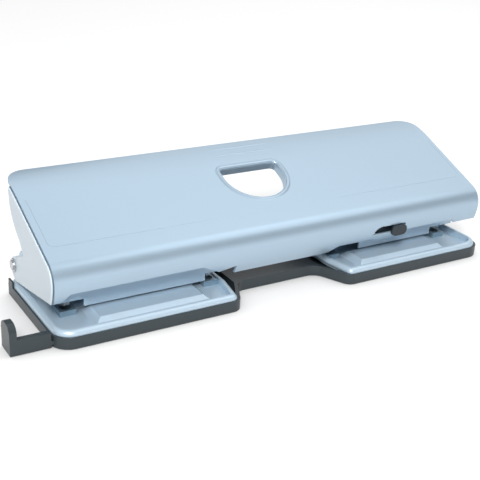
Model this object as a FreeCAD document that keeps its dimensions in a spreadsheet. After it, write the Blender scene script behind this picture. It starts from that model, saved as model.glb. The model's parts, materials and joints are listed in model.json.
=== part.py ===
"""Four-hole desk punch: one long pressed lever over two base plates on a shared chip tray.

Origin: on the bench, midway between the two feet.  +X runs along the punch to the right, +Y to
the back, away from the paper, and +Z up.  Millimetres.
"""
import FreeCAD, Part
import Sketcher
import math
import os
import re

DOC = FreeCAD.newDocument("hole_punch")
SHEET = DOC.addObject("Spreadsheet::Sheet", "sizes")

SIZES = {
    # punching line: every length along the punch is set out from the pins
    "pin_inner": 40.0,
    "pin_outer": 120.0,
    "pin_line": 16.5,
    "paper_margin": 12.0,
    "paper_plane": 8.4,
    "slot_height": 1.8,
    # chip tray: one dark moulding, two feet joined by a rear rail
    "base_end": 15.0,
    "base_front": 44.5,
    "base_back": 27.0,
    "rail_front": 24.3,
    "foot_front_start": 4.8,
    "foot_back_start": 14.3,
    "foot_corner": 6.0,
    "toe_corner": 10.0,
    "neck_corner": 8.0,
    "back_corner": 2.5,
    "tray_wall": 1.8,
    "tray_floor": 1.4,
    "rail_deck": 2.0,
    "rail_rib": 3.0,
    "sole_chamfer": 0.5,
    "lug_height": 3.2,
    "lug_length": 6.0,
    "lug_thick": 0.9,
    # paper guide: a bar that pulls out of the left foot, with an upright stop
    "guide_front": 38.5,
    "guide_thick": 3.0,
    "guide_bottom": 0.5,
    "guide_top": 8.4,
    "guide_play": 0.2,
    "guide_shoulder": 0.3,
    "tail_bottom": 1.7,
    "tail_top": 3.7,
    "tail_length": 74.0,
    "channel_wall": 1.6,
    "stop_reach": 16.7,
    "stop_thick": 3.6,
    "stop_depth": 12.0,
    "stop_top": 15.6,
    "stop_round": 4.5,
    # base plates: pressed pans with a rolled rim and a raised paper table
    "plate_inset": 1.0,
    "plate_play": 0.3,
    "plate_start": 7.4,
    "plate_front_start": 3.8,
    "plate_toe_corner": 10.0,
    "plate_neck_corner": 3.5,
    "plate_back_corner": 5.0,
    "plate_sheet": 1.0,
    "floor_top": 5.4,
    "rim_lift": 0.9,
    "rim_top": 9.1,
    "rim_width": 3.0,
    "rim_round": 2.4,
    "table_gap": 8.0,
    "table_front": 37.0,
    "table_back": 17.0,
    "table_slope": 50.0,
    # pins, their clips, springs and dies
    "pin_radius": 3.0,
    "pin_fit": 0.06,
    "pin_tip": 10.5,
    "pin_top": 36.0,
    "tip_hollow": 12.0,
    "clip_bottom": 33.0,
    "clip_thick": 1.0,
    "clip_radius": 5.0,
    "groove_depth": 0.5,
    "clip_play": 0.05,
    "clip_gap": 3.2,
    "spring_wire": 0.5,
    "spring_radius": 4.1,
    "spring_turns": 5.0,
    "wire_play": 0.1,
    "die_half": 4.3,
    "die_depth": 9.0,
    "chip_radius": 3.9,
    # punch frames: folded steel, front wall, top, stop wall and two ears each
    "frame_sheet": 1.2,
    "frame_front": 21.6,
    "frame_top": 22.0,
    "frame_start": 4.5,
    "frame_end": 9.2,
    "frame_step": 4.0,
    "arch_step": 18.0,
    "step_height": 3.2,
    "guide_flange": 9.0,
    "guide_half": 4.8,
    "foot_start": 1.6,
    "foot_end": 3.6,
    "foot_flange": 10.0,
    "ear_round": 6.5,
    "ear_clear": 0.5,
    "rivet_line": 6.0,
    "rivet_radius": 2.0,
    "rivet_rise": 0.8,
    # pivot
    "pivot_y": 17.0,
    "pivot_z": 20.0,
    "rod_radius": 2.5,
    "rod_fit": 0.05,
    "rod_overhang": 1.6,
    "rod_clip_radius": 3.5,
    "rod_clip_thick": 0.6,
    # lever shell: one long pressing
    "lever_end": 12.8,
    "lever_sheet": 1.2,
    "top_slope": 22.6,
    "top_flat": 47.8,
    "back_radius": 72.0,
    "back_slope": 5.5,
    "lever_corner": 11.0,
    "nose_front": 38.1,
    "nose_height": 31.0,
    "nose_radius": 10.56,
    "face_radius": 25.0,
    "apron_low": 17.6,
    "apron_left": 33.9,
    "apron_right": 23.0,
    "apron_rise": 11.0,
    "notch_high": 22.3,
    "notch_low": 20.4,
    "notch_run": 10.0,
    "skirt_blend": 20.0,
    "skirt_left": 25.6,
    "skirt_middle": 21.2,
    "skirt_right": 23.8,
    "skirt_end": 21.6,
    "lip_left": 4.0,
    "lip_right": 16.5,
    "lip_run": 2.6,
    # pressed crease that follows the lever's front and ends
    "crease_front": 25.5,
    "crease_back": 8.7,
    "crease_start": 39.0,
    "crease_margin": 2.8,
    "crease_corner": 4.0,
    "crease_width": 0.8,
    "crease_depth": 0.3,
    # finger hole through the lever
    "finger_shift": 1.5,
    "finger_half": 18.5,
    "finger_back": 10.8,
    "finger_depth": 26.0,
    "finger_corner": 3.0,
    "collar_depth": 5.0,
    "collar_sheet": 1.2,
    # lever end caps
    "cap_lap": 1.6,
    "cap_proud": 1.1,
    "cap_round": 0.8,
    "cap_lobe": 6.8,
    "lobe_forward": 2.4,
    "lobe_drop": 1.6,
    "cap_waist_y": 1.8,
    "cap_waist_z": 30.9,
    "cap_back_y": 21.0,
    "cap_bend_y": 20.0,
    "cap_bend_z": 52.5,
    "cap_bend_radius": 27.0,
    "cap_knee_y": 7.0,
    "cap_knee_z": 37.5,
    "cap_front_low": 20.9,
    # lever brackets and pressure bar
    "bracket_gap": 0.4,
    "bracket_sheet": 1.2,
    "bracket_boss": 5.0,
    "bracket_front": 24.5,
    "bracket_low": 31.0,
    "bracket_neck_y": 2.0,
    "bracket_neck_z": 26.0,
    "bracket_back_z": 30.5,
    "bar_rest_gap": 0.3,
    "bar_thick": 3.0,
    "bar_width": 12.0,
    # lever lock
    "slot_left": 54.6,
    "slot_right": 77.2,
    "slot_low": 24.2,
    "slot_high": 28.5,
    "slot_run": 7.9,
    "slot_curve": 6.5,
    "lip_start": 54.0,
    "lip_bend": 61.0,
    "lip_finish": 70.0,
    "lip_low": 19.9,
    "lip_rise": 1.8,
    "lock_play": 0.3,
    "lock_travel": 12.0,
    "knob_length": 10.6,
    "knob_low": 22.2,
    "knob_high": 28.3,
    "knob_thick": 1.4,
    "knob_round": 2.8,
    "stem_length": 7.0,
    "stem_low": 25.3,
    "stem_high": 26.9,
    "lock_plate": 1.4,
    "lock_plate_low": 23.0,
    "lock_plate_high": 29.4,
    "lock_plate_length": 17.5,
    "tongue_end": 23.5,
    "tongue_start": 8.0,
    "tongue_width": 5.0,
    "tongue_thick": 1.5,
    "catch_thick": 1.2,
    "catch_reach": 5.2,
    "catch_width": 5.5,
    "catch_bottom": 18.0,
    "strap_thick": 1.0,
    "strap_low": 25.0,
    "strap_high": 29.0,
    "strap_foot": 2.0,
    "strap_gap": 0.1,
    "strap_rise": 1.6,
}

# lengths along the punch and heights that follow from the sizes above
BASE_END = "(pin_outer+base_end)"
TRAY_TOP = "(floor_top+rim_lift)"
FOOT_FRONT = "(pin_inner-foot_front_start)"
FOOT_BACK = "(pin_inner-foot_back_start)"
PLATE_START = "(pin_inner-plate_start)"
PLATE_END = f"({BASE_END}-plate_inset)"
PLATE_FRONT = "(-base_front+plate_inset)"
PLATE_BACK = "(base_back-plate_inset)"
FRAME_IN = "(pin_inner-frame_start)"
FRAME_OUT = "(pin_outer+frame_end)"
FRAME_LOW = "(paper_plane+slot_height)"
FRAME_HIGH = f"({FRAME_LOW}+step_height)"
STOP_Y = "(-pin_line+paper_margin)"
LEVER_END = "(pin_outer+lever_end)"
CAP_INNER = f"({LEVER_END}-cap_lap)"
CAP_OUTER = f"({LEVER_END}+cap_proud)"
BRACKET_OUTER = f"({FRAME_OUT}-frame_sheet-bracket_gap)"
CATCH_X = "(pin_inner+arch_step)"

# how finely a spring's coil is drawn
COIL_STEPS = 12
WIRE_SIDES = 6


def fill_sheet():
    """Write every driving size to the sheet under its alias."""
    for row, (alias, number) in enumerate(SIZES.items(), start=1):
        SHEET.set(f"A{row}", alias)
        SHEET.set(f"B{row}", str(number))
        SHEET.setAlias(f"B{row}", alias)
    DOC.recompute()


def bound(text):
    """Turn a formula in plain size names into one that reads the sheet."""
    return re.sub(r"[a-z]+(_[a-z]+)+", lambda word: f"sizes.{word.group(0)}", str(text))


def value(text):
    """The number that a formula gives now."""
    return float(SHEET.evalExpression(bound(text)))


def new_body(label):
    """An empty body with its own label."""
    body = DOC.addObject("PartDesign::Body", label)
    body.Label = label
    return body


def origin_plane(body, role):
    """The body's own origin plane with this role."""
    return [plane for plane in body.Origin.OriginFeatures if plane.Role == role][0]


def new_sketch(body, role, offset):
    """An empty sketch on an origin plane, moved along its normal by a bound offset."""
    sketch = body.newObject("Sketcher::SketchObject", f"{body.Name}_sketch")
    sketch.AttachmentSupport = [(origin_plane(body, role), "")]
    sketch.MapMode = "FlatFace"
    sketch.setExpression("AttachmentOffset.Base.z", bound(offset))
    return sketch


def pin_vertex(sketch, index, end, x, y):
    """Hold one end of one edge at a bound place."""
    for kind, text in (("DistanceX", x), ("DistanceY", y)):
        number = value(text)
        held = sketch.addConstraint(Sketcher.Constraint(kind, -1, 1, index, end, number))
        sketch.setExpression(f"Constraints[{held}]", bound(text))


def arc_between(start, finish, radius, turn):
    """Minor arc from start to finish; turn is +1 with its centre on the left, -1 on the right."""
    chord = finish - start
    half = chord.Length / 2
    sag = math.sqrt(max(radius * radius - half * half, 0.0))
    across = FreeCAD.Vector(-chord.y, chord.x, 0).normalize()
    centre = (start + finish) / 2 + across * sag * turn
    circle = Part.Circle(centre, FreeCAD.Vector(0, 0, 1), radius)
    first, last = (start, finish) if turn > 0 else (finish, start)
    angles = [math.atan2(point.y - centre.y, point.x - centre.x) for point in (first, last)]
    if angles[1] < angles[0]:
        angles[1] += 2 * math.pi
    return Part.ArcOfCircle(circle, angles[0], angles[1])


def draw_outline(sketch, steps, side=1):
    """Closed outline: a step (x, y) is a line to that point, (x, y, radius, turn) an arc to it.

    Side -1 mirrors the outline in its own Y axis.
    """
    steps = [(f"{side}*({step[0]})",) + tuple(step[1:]) for step in steps]
    points = [FreeCAD.Vector(value(step[0]), value(step[1]), 0) for step in steps]
    edges = []
    for number, step in enumerate(steps):
        start = points[number - 1]
        finish = points[number]
        if len(step) == 2:
            index = sketch.addGeometry(Part.LineSegment(start, finish), False)
            edges.append((index, 1, 2))
        else:
            turn = step[3] * side
            index = sketch.addGeometry(arc_between(start, finish, value(step[2]), turn), False)
            edges.append((index, 1, 2) if turn > 0 else (index, 2, 1))
    for number, step in enumerate(steps):
        index, _, end = edges[number]
        after, start, _ = edges[(number + 1) % len(steps)]
        sketch.addConstraint(Sketcher.Constraint("Coincident", index, end, after, start))
        pin_vertex(sketch, index, end, step[0], step[1])
        if len(step) == 4:
            held = sketch.addConstraint(Sketcher.Constraint("Radius", index, value(step[2])))
            sketch.setExpression(f"Constraints[{held}]", bound(step[2]))
    DOC.recompute()


def draw_circle(sketch, x, y, radius):
    """Circle with a bound centre and radius."""
    centre = FreeCAD.Vector(value(x), value(y), 0)
    circle = Part.Circle(centre, FreeCAD.Vector(0, 0, 1), value(radius))
    index = sketch.addGeometry(circle, False)
    pin_vertex(sketch, index, 3, x, y)
    held = sketch.addConstraint(Sketcher.Constraint("Radius", index, value(radius)))
    sketch.setExpression(f"Constraints[{held}]", bound(radius))
    DOC.recompute()


def volume(body):
    """Volume of the body so far."""
    return body.Shape.Volume if body.Tip else 0.0


def extrude(body, sketch, length, kind="Pad", back=False, middle=False, taper="0"):
    """Pad or pocket a sketch, and check that it changed the body the right way."""
    before = volume(body)
    feature = body.newObject(f"PartDesign::{kind}", f"{body.Name}_{kind.lower()}")
    feature.Profile = sketch
    feature.setExpression("Length", bound(length))
    feature.Reversed = back
    feature.Midplane = middle
    if taper != "0":
        feature.setExpression("TaperAngle", bound(taper))
    DOC.recompute()
    change = volume(body) - before
    if (change > 0) != (kind == "Pad"):
        raise ValueError(f"{body.Label}: {kind} changed nothing")
    return feature


def pad(body, role, offset, length, steps, side=1, **options):
    """Sketch an outline and pad it."""
    sketch = new_sketch(body, role, offset)
    draw_outline(sketch, steps, side)
    return extrude(body, sketch, length, **options)


def pocket(body, role, offset, length, steps, side=1, **options):
    """Sketch an outline and cut it out."""
    return pad(body, role, offset, length, steps, side, kind="Pocket", **options)


def drill(body, role, offset, length, centres, radius, **options):
    """Cut round holes at bound centres."""
    sketch = new_sketch(body, role, offset)
    for x, y in centres:
        draw_circle(sketch, x, y, radius)
    return extrude(body, sketch, length, kind="Pocket", **options)


def dress(body, kind, size, wanted):
    """Fillet or chamfer the edges that the test picks."""
    base = body.Tip
    names = [f"Edge{number}" for number, edge in enumerate(base.Shape.Edges, start=1)
             if wanted(edge)]
    feature = body.newObject(f"PartDesign::{kind}", f"{body.Name}_{kind.lower()}")
    feature.Base = (base, names)
    feature.setExpression("Radius" if kind == "Fillet" else "Size", bound(size))
    DOC.recompute()
    return feature


def upright_at(x, y):
    """Test for a vertical edge over a bound place."""
    place = FreeCAD.Vector(value(x), value(y), 0)

    def wanted(edge):
        first = edge.Vertexes[0].Point
        last = edge.Vertexes[-1].Point
        upright = abs(first.z - last.z) > 0.1
        near = max(math.hypot(point.x - place.x, point.y - place.y) for point in (first, last))
        return upright and near < 0.01
    return wanted


def round_corners(body, side, corners, radii):
    """Round the upright edges over these corners, each with its own radius."""
    for (x, y), radius in zip(corners, radii):
        dress(body, "Fillet", radius, upright_at(f"{side}*({x})", y))


def box(label, low, high):
    """Box between two corners given as formulas."""
    solid = DOC.addObject("Part::Box", label)
    solid.Label = label
    for name, first, last in zip(("Length", "Width", "Height"), low, high):
        solid.setExpression(name, bound(f"({last})-({first})"))
    for axis, first in zip("xyz", low):
        solid.setExpression(f"Placement.Base.{axis}", bound(first))
    return solid


def cylinder(label, base, length, radius, along="z"):
    """Cylinder from a bound base point along +Z or +X."""
    solid = DOC.addObject("Part::Cylinder", label)
    solid.Label = label
    solid.setExpression("Radius", bound(radius))
    solid.setExpression("Height", bound(length))
    if along == "x":
        turned = FreeCAD.Rotation(FreeCAD.Vector(0, 1, 0), 90)
        solid.Placement = FreeCAD.Placement(FreeCAD.Vector(), turned)
    for axis, place in zip("xyz", base):
        solid.setExpression(f"Placement.Base.{axis}", bound(place))
    return solid


def combine(label, kind, first, second):
    """Part::Cut, Part::Fuse or Part::Common of two objects."""
    result = DOC.addObject(f"Part::{kind}", label)
    result.Label = label
    result.Base = first
    result.Tool = second
    return result


def group(label, members):
    """One object that holds separate solids."""
    result = DOC.addObject("Part::Compound", label)
    result.Label = label
    result.Links = members
    return result


# ---------------------------------------------------------------- chip tray and paper guide
def foot_outline():
    """Plan of the right foot from the rail outwards, before its corners are rounded."""
    return [
        (FOOT_BACK, "-rail_front"),
        (FOOT_FRONT, "-base_front"),
        (BASE_END, "-base_front"),
        (BASE_END, "base_back"),
    ]


def foot_hollow():
    """Plan of the right foot inside its walls, round at the toe."""
    return [
        (f"{FOOT_BACK}+tray_wall", "-rail_front"),
        (f"{FOOT_FRONT}+tray_wall", "-base_front+tray_wall"),
        (f"{BASE_END}-toe_corner", "-base_front+tray_wall"),
        (f"{BASE_END}-tray_wall", "-base_front+toe_corner", "toe_corner-tray_wall", 1),
        (f"{BASE_END}-tray_wall", "base_back-tray_wall"),
        (f"{FOOT_BACK}+tray_wall", "base_back-tray_wall"),
    ]


def chip_tray():
    """Dark moulding: two deep feet that catch the chips, joined by a hollow rail."""
    body = new_body("chip_tray")
    right = foot_outline()
    left = [(f"-({x})", y) for x, y in reversed(right)]
    pad(body, "XY_Plane", "0", TRAY_TOP, right + left)
    for side in (1, -1):
        round_corners(body, side, right, ("neck_corner", "foot_corner", "toe_corner", "back_corner"))
    dress(body, "Chamfer", "sole_chamfer",
          lambda edge: abs(edge.BoundBox.ZMax) < 0.01 and abs(edge.BoundBox.ZMin) < 0.01)
    for side in (1, -1):
        hollow = foot_hollow()
        pocket(body, "XY_Plane", TRAY_TOP, f"{TRAY_TOP}-tray_floor", hollow, side)
        round_corners(body, side, hollow[1:2], ("plate_neck_corner-plate_inset",))
        rail = [
            ("rail_rib/2", "-rail_front+tray_wall"),
            (FOOT_BACK, "-rail_front+tray_wall"),
            (FOOT_BACK, "base_back-tray_wall"),
            ("rail_rib/2", "base_back-tray_wall"),
        ]
        pocket(body, "XY_Plane", "0", f"{TRAY_TOP}-rail_deck", rail, side, back=True)
        lug = [
            (f"{BASE_END}-lug_thick", "base_back-back_corner-lug_length"),
            (BASE_END, "base_back-back_corner-lug_length"),
            (BASE_END, "base_back-back_corner"),
            (f"{BASE_END}-lug_thick", "base_back-back_corner"),
        ]
        pad(body, "XY_Plane", TRAY_TOP, "lug_height", lug, side)
    guide_channel(body)
    return body


def guide_channel(body):
    """Two ribs in the left foot that the guide's tail runs between, and its way out."""
    start = f"-{BASE_END}+tray_wall"
    finish = f"-{BASE_END}+tail_length"
    for near, far in (
            ("-guide_front-guide_play-channel_wall", "-guide_front-guide_play"),
            ("-guide_front+guide_thick+guide_play",
             "-guide_front+guide_thick+guide_play+channel_wall")):
        rib = [(start, near), (finish, near), (finish, far), (start, far)]
        pad(body, "XY_Plane", "tray_floor", "floor_top-plate_sheet-plate_play-tray_floor", rib)
    mouth = [
        ("-guide_front-guide_play", "tail_bottom-guide_play"),
        ("-guide_front+guide_thick+guide_play", "tail_bottom-guide_play"),
        ("-guide_front+guide_thick+guide_play", "tail_top+guide_play"),
        ("-guide_front-guide_play", "tail_top+guide_play"),
    ]
    pocket(body, "YZ_Plane", f"-{BASE_END}-tray_wall", "3*tray_wall", mouth, back=True)


def paper_guide():
    """Flat bar that slides out of the left foot, its tail thinner than its shank."""
    body = new_body("paper_guide")
    shank = f"-{BASE_END}-guide_shoulder"
    stop = f"-{BASE_END}-stop_reach"
    side_view = [
        (f"{stop}-stop_thick", "guide_bottom"),
        (shank, "guide_bottom"),
        (shank, "tail_bottom"),
        (f"-{BASE_END}+tail_length", "tail_bottom"),
        (f"-{BASE_END}+tail_length", "tail_top"),
        (shank, "tail_top"),
        (shank, "guide_top"),
        (f"{stop}-stop_thick", "guide_top"),
    ]
    pad(body, "XZ_Plane", "guide_front-guide_thick", "guide_thick", side_view)
    plate = [
        ("-guide_front", "guide_bottom"),
        ("-guide_front+stop_depth", "guide_bottom"),
        ("-guide_front+stop_depth", "stop_top-stop_round"),
        ("-guide_front+stop_depth-stop_round", "stop_top", "stop_round", 1),
        ("-guide_front+stop_round", "stop_top"),
        ("-guide_front", "stop_top-stop_round", "stop_round", 1),
    ]
    pad(body, "YZ_Plane", f"{stop}-stop_thick", "stop_thick", plate)
    return body


# ---------------------------------------------------------------- base plates
def plate_outline(inset):
    """Plan of the right base plate at a distance inside its edge, before its corners are rounded."""
    return [
        (f"{PLATE_START}+({inset})", "-rail_front"),
        (f"pin_inner-plate_front_start+({inset})", f"{PLATE_FRONT}+({inset})"),
        (f"{PLATE_END}-({inset})", f"{PLATE_FRONT}+({inset})"),
        (f"{PLATE_END}-({inset})", f"{PLATE_BACK}-({inset})"),
        (f"{PLATE_START}+({inset})", f"{PLATE_BACK}-({inset})"),
    ]


def plate_floor():
    """Plan of the sunken floor inside the rim, round at the toe and the back."""
    toe = "plate_toe_corner-rim_width"
    corner = "plate_back_corner-rim_width"
    return [
        (f"{PLATE_START}+rim_width", "-rail_front"),
        ("pin_inner-plate_front_start+rim_width", f"{PLATE_FRONT}+rim_width"),
        (f"{PLATE_END}-plate_toe_corner", f"{PLATE_FRONT}+rim_width"),
        (f"{PLATE_END}-rim_width", f"{PLATE_FRONT}+plate_toe_corner", toe, 1),
        (f"{PLATE_END}-rim_width", f"{PLATE_BACK}-plate_back_corner"),
        (f"{PLATE_END}-plate_back_corner", f"{PLATE_BACK}-rim_width", corner, 1),
        (f"{PLATE_START}+plate_back_corner", f"{PLATE_BACK}-rim_width"),
        (f"{PLATE_START}+rim_width", f"{PLATE_BACK}-plate_back_corner", corner, 1),
    ]


def base_plate(label, side):
    """Pressed pan: rolled rim all round, sunken floor, raised paper table."""
    body = new_body(label)
    seat = "(tray_wall-plate_inset+plate_play)"
    radii = ("plate_neck_corner", "plate_toe_corner", "plate_back_corner", "plate_back_corner")
    pad(body, "XY_Plane", TRAY_TOP, f"rim_top-{TRAY_TOP}", plate_outline("0"), side)
    pad(body, "XY_Plane", "floor_top-plate_sheet", "rim_lift+plate_sheet", plate_outline(seat), side)
    round_corners(body, side, plate_outline(seat)[1:], [f"{radius}-{seat}" for radius in radii])
    round_corners(body, side, plate_outline("0")[1:], radii)
    dress(body, "Fillet", "rim_round",
          lambda edge: edge.BoundBox.ZMin > value("rim_top") - 0.01)
    pocket(body, "XY_Plane", "rim_top", "rim_top-floor_top", plate_floor(), side)
    table_in = "(pin_inner+table_gap)"
    table_out = "(pin_outer-table_gap)"
    table = [
        (table_in, "-table_front"),
        (table_out, "-table_front"),
        (table_out, "-table_back"),
        (table_in, "-table_back"),
    ]
    pad(body, "XY_Plane", "floor_top", "paper_plane-floor_top", table, side,
        taper="-table_slope")
    under = [
        (f"{table_in}+plate_sheet", "-table_front+plate_sheet"),
        (f"{table_out}-plate_sheet", "-table_front+plate_sheet"),
        (f"{table_out}-plate_sheet", "-table_back-plate_sheet"),
        (f"{table_in}+plate_sheet", "-table_back-plate_sheet"),
    ]
    pocket(body, "XY_Plane", "floor_top-plate_sheet", "paper_plane-floor_top",
           under, side, back=True, taper="-table_slope")
    holes = [(f"{side}*pin_inner", "-pin_line"), (f"{side}*pin_outer", "-pin_line")]
    drill(body, "XY_Plane", "rim_top", "2*rim_top", holes, "chip_radius")
    return body


def dies():
    """Hardened plates under the pins, each with a close-fitting hole."""
    made = []
    places = ("-pin_outer", "-pin_inner", "pin_inner", "pin_outer")
    for number, x in enumerate(places, start=1):
        body = new_body(f"die_{number}")
        plate = [
            (f"{x}-die_half", "-pin_line-die_depth/2"),
            (f"{x}+die_half", "-pin_line-die_depth/2"),
            (f"{x}+die_half", "-pin_line+die_depth/2"),
            (f"{x}-die_half", "-pin_line+die_depth/2"),
        ]
        pad(body, "XY_Plane", "floor_top", "paper_plane-floor_top", plate)
        drill(body, "XY_Plane", "paper_plane", "paper_plane", [(x, "-pin_line")],
              "pin_radius+pin_fit")
        made.append(body)
    return made


# ---------------------------------------------------------------- punch frames
def frame_section(body, side, near, far, low, high, inner=FRAME_IN, outer=FRAME_OUT):
    """One wall or flange of a frame, a slab between bound limits."""
    slab = [(inner, near), (outer, near), (outer, far), (inner, far)]
    return pad(body, "XY_Plane", low, f"({high})-({low})", slab, side)


def punch_frame(label, side):
    """Folded steel frame that guides two pins and carries the pivot rod in its ears."""
    body = new_body(label)
    step = CATCH_X if side > 0 else "(pin_inner+frame_step)"
    front_wall = [
        (FRAME_IN, FRAME_HIGH),
        (step, FRAME_HIGH),
        (step, FRAME_LOW),
        ("pin_outer-table_gap", FRAME_LOW),
        ("pin_outer-table_gap", FRAME_HIGH),
        (FRAME_OUT, FRAME_HIGH),
        (FRAME_OUT, "frame_top"),
        (FRAME_IN, "frame_top"),
    ]
    pad(body, "XZ_Plane", "frame_front-frame_sheet", "frame_sheet", front_wall, side)
    frame_section(body, side, "-frame_front", f"{STOP_Y}+frame_sheet",
                  "frame_top-frame_sheet", "frame_top")
    foot_in = "pin_inner-foot_start"
    foot_out = "pin_outer+foot_end"
    frame_section(body, side, STOP_Y, f"{STOP_Y}+frame_sheet", "floor_top",
                  "frame_top", foot_in, foot_out)
    frame_section(body, side, STOP_Y, f"{STOP_Y}+foot_flange", "floor_top",
                  "floor_top+frame_sheet", foot_in, foot_out)
    for x in ("pin_inner", "pin_outer"):
        frame_section(body, side, "-frame_front", "-frame_front+guide_flange",
                      FRAME_HIGH, f"{FRAME_HIGH}+frame_sheet",
                      f"{x}-min(guide_half;frame_start)", f"{x}+guide_half")
    for outer in (FRAME_OUT, f"({FRAME_IN}+frame_sheet)"):
        ear(body, side, outer)
    holes = [(f"{side}*pin_inner", "-pin_line"), (f"{side}*pin_outer", "-pin_line")]
    drill(body, "XY_Plane", "frame_top", "frame_top-floor_top", holes, "pin_radius+pin_fit")
    if side > 0:
        lock_catch(body)
    return body


def ear(body, side, outer):
    """End wall of a frame, rounded over the pivot, with the rod's hole."""
    plane = f"{outer}-frame_sheet" if side > 0 else f"-{outer}"
    low = "rim_top+ear_clear"
    profile = [
        ("-frame_front", FRAME_HIGH),
        (STOP_Y, FRAME_HIGH),
        (STOP_Y, low),
        ("pivot_y+ear_round", low),
        ("pivot_y+ear_round", "pivot_z"),
        ("pivot_y", "pivot_z+ear_round", "ear_round", 1),
        (STOP_Y, "frame_top"),
        ("-frame_front", "frame_top"),
    ]
    pad(body, "YZ_Plane", plane, "frame_sheet", profile)
    drill(body, "YZ_Plane", plane, "frame_sheet", [("pivot_y", "pivot_z")],
          "rod_radius+rod_fit", back=True)


def lock_catch(body):
    """Catch folded forward from the right frame for the lever lock."""
    catch = [
        (CATCH_X, "-frame_front-catch_reach"),
        (f"{CATCH_X}+catch_width", "-frame_front-catch_reach"),
        (f"{CATCH_X}+catch_width", "-frame_front"),
        (CATCH_X, "-frame_front"),
    ]
    pad(body, "XY_Plane", "catch_bottom", "catch_thick", catch)


def frame_rivets():
    """Flat-headed rivets through each frame's foot flange."""
    members = []
    top = "floor_top+frame_sheet"
    for side in (-1, 1):
        for x in ("pin_inner+die_half", "(pin_inner+pin_outer)/2", "pin_outer-die_half"):
            place = (f"{side}*({x})", f"{STOP_Y}+rivet_line", top)
            members.append(cylinder("rivet", place, "rivet_rise", "rivet_radius"))
    return group("frame_rivets", members)


# ---------------------------------------------------------------- pivot
def pivot_rod():
    """One rod through all four ears and both lever brackets."""
    half = f"({CAP_OUTER}+rod_overhang)"
    return cylinder("pivot_rod", (f"-{half}", "pivot_y", "pivot_z"), f"2*{half}",
                    "rod_radius", along="x")


def rod_clips():
    """Push-on retaining rings at the rod's ends."""
    members = []
    for start in (f"-{CAP_OUTER}-rod_clip_thick-lock_play", f"{CAP_OUTER}+lock_play"):
        place = (start, "pivot_y", "pivot_z")
        ring = cylinder("ring", place, "rod_clip_thick", "rod_clip_radius", along="x")
        bore = cylinder("bore", place, "rod_clip_thick", "rod_radius", along="x")
        members.append(combine("rod_clip", "Cut", ring, bore))
    return group("rod_clips", members)


# ---------------------------------------------------------------- lever
def lever_section(depth):
    """Side view of the pressing at a depth inside its outer face, from the apron to the back."""
    nose = f"(nose_radius-({depth}))"
    face = f"(face_radius-({depth}))"
    back = f"(back_radius-({depth}))"
    slope = "top_slope*1deg"
    end = "back_slope*1deg"
    nose_y = "(-nose_front+nose_radius)"
    face_y = "(-nose_front+face_radius)"
    flat_y = f"({nose_y}-nose_radius*sin({slope})+top_flat*cos({slope}))"
    flat_z = f"(nose_height+nose_radius*cos({slope})+top_flat*sin({slope}))"
    back_y = f"({flat_y}+back_radius*sin({slope}))"
    back_z = f"({flat_z}-back_radius*cos({slope}))"
    return {
        "low": (f"{face_y}-sqrt({face}^2-(nose_height-apron_low)^2)", "apron_low"),
        "front": (f"{face_y}-{face}", "nose_height", face, -1),
        "brow": (f"{nose_y}-{nose}*sin({slope})", f"nose_height+{nose}*cos({slope})", nose, -1),
        "flat": (f"{flat_y}+({depth})*sin({slope})", f"{flat_z}-({depth})*cos({slope})"),
        "back": (f"{back_y}-{back}*sin({end})", f"{back_z}+{back}*cos({end})", back, -1),
    }


def lever_shell():
    """Long bent sheet: sloping top, rolled nose, front skirt with a deeper apron."""
    body = new_body("lever_shell")
    outer = lever_section("0")
    inner = lever_section("lever_sheet")
    section = [
        outer["low"], outer["front"], outer["brow"], outer["flat"], outer["back"],
        inner["back"][:2],
        inner["flat"] + ("back_radius-lever_sheet", 1),
        inner["brow"][:2],
        inner["front"][:2] + ("nose_radius-lever_sheet", 1),
        inner["low"] + ("face_radius-lever_sheet", 1),
    ]
    pad(body, "YZ_Plane", "0", f"2*{LEVER_END}", section, middle=True)
    trim_skirt(body)
    round_lever_corners(body)
    finger_hole(body)
    lock_slot(body)
    for side in (1, -1):
        crease(body, side)
    return body


def trim_skirt(body):
    """Raise the skirt over both feet: sharp notch on the left, soft sweep and lip on the right."""
    clear = "apron_low-lever_sheet"
    edge = f"{LEVER_END}+lever_sheet"
    left = [
        ("-apron_left", clear),
        ("-apron_left", "notch_high"),
        ("-apron_left-notch_run", "notch_low"),
        ("-apron_left-skirt_blend", "skirt_left"),
        (f"-{LEVER_END}+2*lip_left", "skirt_left"),
        (f"-{LEVER_END}+lip_left", "skirt_end"),
        (f"-({edge})", "skirt_end"),
        (f"-({edge})", clear),
    ]
    rise = "(skirt_middle-apron_low)"
    sweep = f"((apron_rise/2)^2+({rise}/2)^2)/{rise}"
    right = [
        ("apron_right", clear),
        (edge, clear),
        (edge, "skirt_end"),
        (f"{LEVER_END}-lip_right", "skirt_end"),
        (f"{LEVER_END}-lip_right-lip_run", "skirt_right"),
        ("slot_right+lip_rise", "skirt_right"),
        ("lip_finish", "lip_low"),
        ("lip_bend", "lip_low"),
        ("lip_start", "skirt_middle"),
        ("apron_right+apron_rise", "skirt_middle"),
        ("apron_right+apron_rise/2", f"apron_low+{rise}/2", sweep, 1),
        ("apron_right", "apron_low", sweep, -1),
    ]
    for outline in (left, right):
        pocket(body, "XZ_Plane", "nose_front+lever_sheet", "face_radius/2", outline)


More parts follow.
